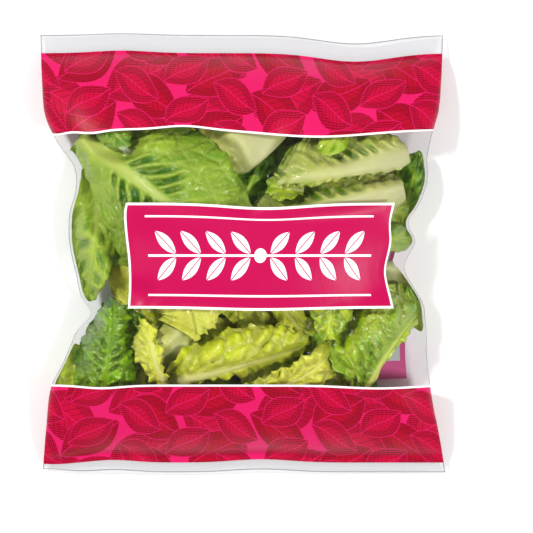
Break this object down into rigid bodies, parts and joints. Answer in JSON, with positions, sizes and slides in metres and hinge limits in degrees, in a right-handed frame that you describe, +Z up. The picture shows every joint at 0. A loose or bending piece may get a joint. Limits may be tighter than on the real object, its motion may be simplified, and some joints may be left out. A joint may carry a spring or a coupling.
{
  "type": "bag of salad leaves",
  "caption": "Clear sealed pillow bag full of loose lettuce leaves, with a printed band at each end and a magenta label panel in the middle; it lies on its back.",
  "frame": {"origin": "on the surface the bag lies on, under the middle of its bounding box", "axes": "+Z up out of the printed front, +Y from the bottom seal to the top seal, +X to the right of the print"},
  "size_m": [0.2432, 0.264, 0.0613],
  "materials": {
    "filled_bag": "glossy clear film over green leaves",
    "clear_film": "clear gloss film",
    "printed_film": "magenta print under gloss",
    "outer_leaf": "fresh green leaf, waxy",
    "heart_leaf": "fresh yellow-green leaf, waxy"
  },
  "bodies": {
    "root": {"salad_bag": "filled_bag"}
  },
  "joints": []
}
